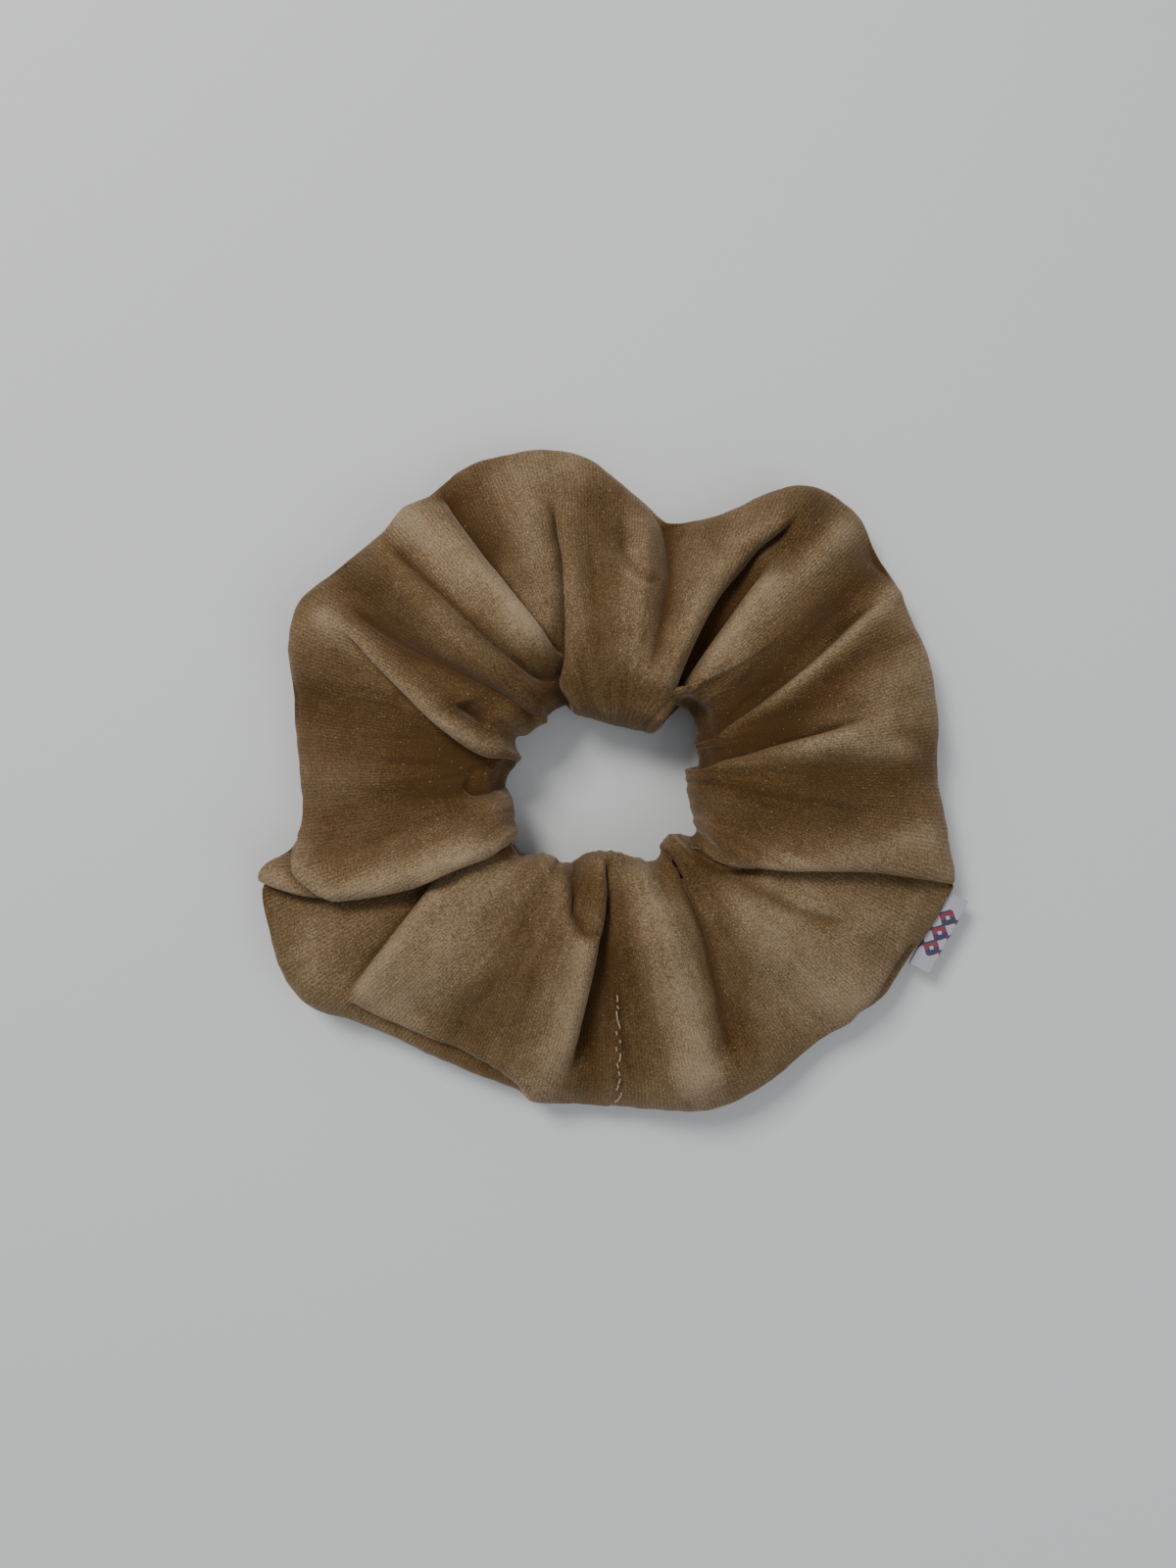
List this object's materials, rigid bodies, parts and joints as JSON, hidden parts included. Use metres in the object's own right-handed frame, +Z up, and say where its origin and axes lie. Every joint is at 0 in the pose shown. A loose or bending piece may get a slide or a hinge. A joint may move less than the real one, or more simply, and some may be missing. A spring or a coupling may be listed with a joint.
{
  "type": "scrunchie",
  "caption": "Gathered velvet hair tie: a wide puffy cloth ring on a hidden elastic loop, with a small folded side label.",
  "frame": {"origin": "middle of the outline seen from above, on the surface that the scrunchie lies on", "axes": "+Z up through the hole; +Y to the narrow gather at the top, so the closing seam is at -Y and the label at +X, -Y"},
  "size_m": [0.1279, 0.1184, 0.0193],
  "materials": {
    "velvet": "stretch knit velvet, short dense pile, soft sheen",
    "elastic": "white braided elastic",
    "thread": "matching polyester sewing thread",
    "label": null
  },
  "bodies": {
    "root": {"cover_01a": "velvet", "elastic_01a": "elastic", "seam_thread_01a": "thread", "closing_seam_thread": "thread"},
    "gather_02": {"cover_02": "velvet", "elastic_02": "elastic", "seam_thread_02": "thread", "elastic_overlap": "elastic", "elastic_join_thread": "thread"},
    "gather_03": {"cover_03": "velvet", "elastic_03": "elastic", "seam_thread_03": "thread"},
    "gather_04": {"cover_04": "velvet", "elastic_04": "elastic", "seam_thread_04": "thread"},
    "gather_05": {"cover_05": "velvet", "elastic_05": "elastic", "seam_thread_05": "thread"},
    "gather_06": {"cover_06": "velvet", "elastic_06": "elastic", "seam_thread_06": "thread"},
    "gather_07": {"cover_07": "velvet", "elastic_07": "elastic", "seam_thread_07": "thread"},
    "gather_08": {"cover_08": "velvet", "elastic_08": "elastic", "seam_thread_08": "thread"},
    "gather_09": {"cover_09": "velvet", "elastic_09": "elastic", "seam_thread_09": "thread"},
    "gather_10": {"cover_10": "velvet", "elastic_10": "elastic", "seam_thread_10": "thread"},
    "gather_11": {"cover_11": "velvet", "elastic_11": "elastic", "seam_thread_11": "thread"},
    "gather_12": {"cover_12": "velvet", "elastic_12": "elastic", "seam_thread_12": "thread"},
    "gather_01b": {"cover_01b": "velvet", "elastic_01b": "elastic", "seam_thread_01b": "thread"},
    "label": {"label_tab": "label"}
  },
  "joints": [
    {"name": "stretch", "type": "slide", "parent": "root", "child": "gather_02", "axis": [0.9659, 0.2588, 0], "range_m": [0, 0.00932], "stiffness_N_per_m": 200},
    {"name": "stretch_03", "type": "slide", "parent": "gather_02", "child": "gather_03", "axis": [0.7071, 0.7071, 0], "range_m": [0, 0.00932], "stiffness_N_per_m": 200},
    {"name": "stretch_04", "type": "slide", "parent": "gather_03", "child": "gather_04", "axis": [0.2588, 0.9659, 0], "range_m": [0, 0.00932], "stiffness_N_per_m": 200},
    {"name": "stretch_05", "type": "slide", "parent": "gather_04", "child": "gather_05", "axis": [-0.2588, 0.9659, 0], "range_m": [0, 0.00932], "stiffness_N_per_m": 200},
    {"name": "stretch_06", "type": "slide", "parent": "gather_05", "child": "gather_06", "axis": [-0.7071, 0.7071, 0], "range_m": [0, 0.00932], "stiffness_N_per_m": 200},
    {"name": "stretch_07", "type": "slide", "parent": "gather_06", "child": "gather_07", "axis": [-0.9659, 0.2588, 0], "range_m": [0, 0.00932], "stiffness_N_per_m": 200},
    {"name": "stretch_08", "type": "slide", "parent": "gather_07", "child": "gather_08", "axis": [-0.9659, -0.2588, 0], "range_m": [0, 0.00932], "stiffness_N_per_m": 200},
    {"name": "stretch_09", "type": "slide", "parent": "gather_08", "child": "gather_09", "axis": [-0.7071, -0.7071, 0], "range_m": [0, 0.00932], "stiffness_N_per_m": 200},
    {"name": "stretch_10", "type": "slide", "parent": "gather_09", "child": "gather_10", "axis": [-0.2588, -0.9659, 0], "range_m": [0, 0.00932], "stiffness_N_per_m": 200},
    {"name": "stretch_11", "type": "slide", "parent": "gather_10", "child": "gather_11", "axis": [0.2588, -0.9659, 0], "range_m": [0, 0.00932], "stiffness_N_per_m": 200},
    {"name": "stretch_12", "type": "slide", "parent": "gather_11", "child": "gather_12", "axis": [0.7071, -0.7071, 0], "range_m": [0, 0.00932], "stiffness_N_per_m": 200},
    {"name": "stretch_01b", "type": "slide", "parent": "gather_12", "child": "gather_01b", "axis": [0.9659, -0.2588, 0], "range_m": [0, 0.00932], "stiffness_N_per_m": 200},
    {"name": "label_flip", "type": "hinge", "parent": "gather_03", "child": "label", "pos_m": [0.05779, -0.02736, 0.0044], "axis": [-0.4695, -0.8829, 0], "range_deg": [-40, 100], "stiffness_Nm_per_rad": 0.0004}
  ],
  "couplings": [
    {"joint": "stretch_03", "follows": "stretch", "ratio": 1},
    {"joint": "stretch_04", "follows": "stretch", "ratio": 1},
    {"joint": "stretch_05", "follows": "stretch", "ratio": 1},
    {"joint": "stretch_06", "follows": "stretch", "ratio": 1},
    {"joint": "stretch_07", "follows": "stretch", "ratio": 1},
    {"joint": "stretch_08", "follows": "stretch", "ratio": 1},
    {"joint": "stretch_09", "follows": "stretch", "ratio": 1},
    {"joint": "stretch_10", "follows": "stretch", "ratio": 1},
    {"joint": "stretch_11", "follows": "stretch", "ratio": 1},
    {"joint": "stretch_12", "follows": "stretch", "ratio": 1},
    {"joint": "stretch_01b", "follows": "stretch", "ratio": 1}
  ]
}
